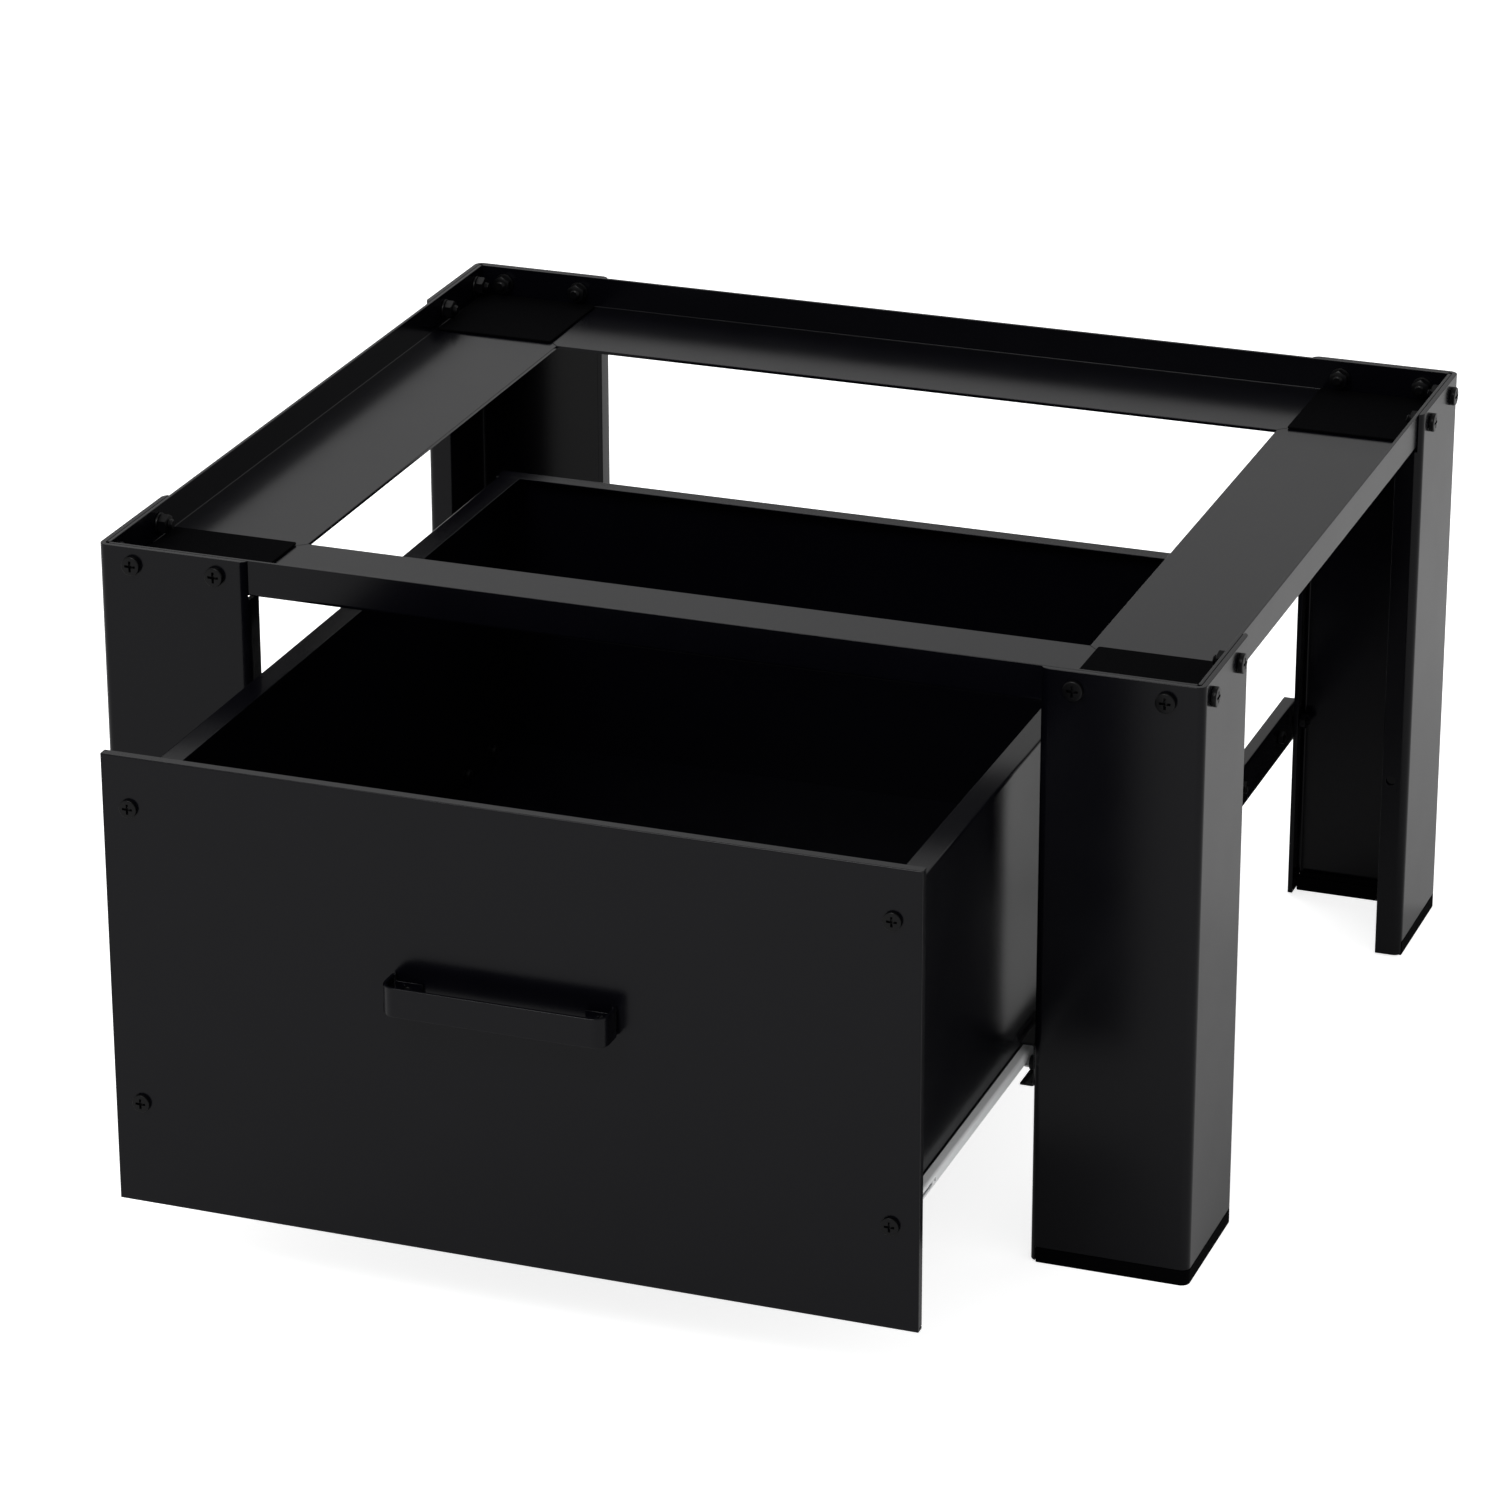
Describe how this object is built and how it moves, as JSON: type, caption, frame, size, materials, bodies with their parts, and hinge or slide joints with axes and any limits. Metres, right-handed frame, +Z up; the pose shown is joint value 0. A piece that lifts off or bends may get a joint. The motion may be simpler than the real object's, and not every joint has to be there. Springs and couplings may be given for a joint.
{
  "type": "washing machine pedestal",
  "caption": "Black steel stand that raises a washing machine, with a rimmed top frame, box-section legs and a pull-out storage drawer on ball runners.",
  "frame": {"origin": "middle of the footprint at floor level, with the drawer open as stored", "axes": "+X to the right seen from the front, +Y from the drawer front to the back, +Z up"},
  "size_m": [0.6362, 0.7476, 0.345],
  "materials": {
    "powder_coat": "satin",
    "black_bolt": "semi-gloss",
    "zinc_plate": "bright zinc",
    "pad_rubber": "matte",
    "foot_plastic": "matte",
    "cage_steel": "bare"
  },
  "bodies": {
    "frame": {"foot_front_left": "foot_plastic", "foot_front_right": "foot_plastic", "foot_rear_left": "foot_plastic", "foot_rear_right": "foot_plastic", "leg_bolt_front_left_1": "black_bolt", "leg_bolt_front_left_2": "black_bolt", "leg_bolt_front_left_3": "black_bolt", "leg_bolt_front_left_4": "black_bolt", "leg_bolt_front_right_1": "black_bolt", "leg_bolt_front_right_2": "black_bolt", "leg_bolt_front_right_3": "black_bolt", "leg_bolt_front_right_4": "black_bolt", "leg_bolt_rear_left_1": "black_bolt", "leg_bolt_rear_left_2": "black_bolt", "leg_bolt_rear_left_3": "black_bolt", "leg_bolt_rear_left_4": "black_bolt", "leg_bolt_rear_right_1": "black_bolt", "leg_bolt_rear_right_2": "black_bolt", "leg_bolt_rear_right_3": "black_bolt", "leg_bolt_rear_right_4": "black_bolt", "leg_front_left": "powder_coat", "leg_front_right": "powder_coat", "leg_rear_left": "powder_coat", "leg_rear_right": "powder_coat", "pad_front_left": "pad_rubber", "pad_front_right": "pad_rubber", "pad_rear_left": "pad_rubber", "pad_rear_right": "pad_rubber", "rail_front": "powder_coat", "rail_left": "powder_coat", "rail_rear": "powder_coat", "rail_right": "powder_coat", "slide_outer_left": "zinc_plate", "slide_outer_right": "zinc_plate", "slide_stop_left": "pad_rubber", "slide_stop_right": "pad_rubber", "slide_support_left": "powder_coat", "slide_support_right": "powder_coat", "support_bolt_front_left": "black_bolt", "support_bolt_front_right": "black_bolt", "support_bolt_rear_left": "black_bolt", "support_bolt_rear_right": "black_bolt"},
    "drawer": {"drawer_back": "powder_coat", "drawer_floor": "powder_coat", "drawer_front_panel": "powder_coat", "drawer_handle": "powder_coat", "drawer_side_left": "powder_coat", "drawer_side_right": "powder_coat", "handle_screw_left": "black_bolt", "handle_screw_right": "black_bolt", "panel_bolt_lower_left": "black_bolt", "panel_bolt_lower_right": "black_bolt", "panel_bolt_upper_left": "black_bolt", "panel_bolt_upper_right": "black_bolt", "slide_inner_left": "zinc_plate", "slide_inner_right": "zinc_plate"},
    "left_ball_cage": {"ball_cage_left": "cage_steel"},
    "right_ball_cage": {"ball_cage_right": "cage_steel"}
  },
  "joints": [
    {"name": "drawer_slide", "type": "slide", "parent": "frame", "child": "drawer", "axis": [0, -1, 0], "range_m": [-0.1852, 0.1736]},
    {"name": "left_cage_slide", "type": "slide", "parent": "frame", "child": "left_ball_cage", "axis": [0, -1, 0], "range_m": [-0.0926, 0.0868]},
    {"name": "right_cage_slide", "type": "slide", "parent": "frame", "child": "right_ball_cage", "axis": [0, -1, 0], "range_m": [-0.0926, 0.0868]}
  ],
  "couplings": [
    {"joint": "left_cage_slide", "follows": "drawer_slide", "ratio": 0.5},
    {"joint": "right_cage_slide", "follows": "drawer_slide", "ratio": 0.5}
  ]
}
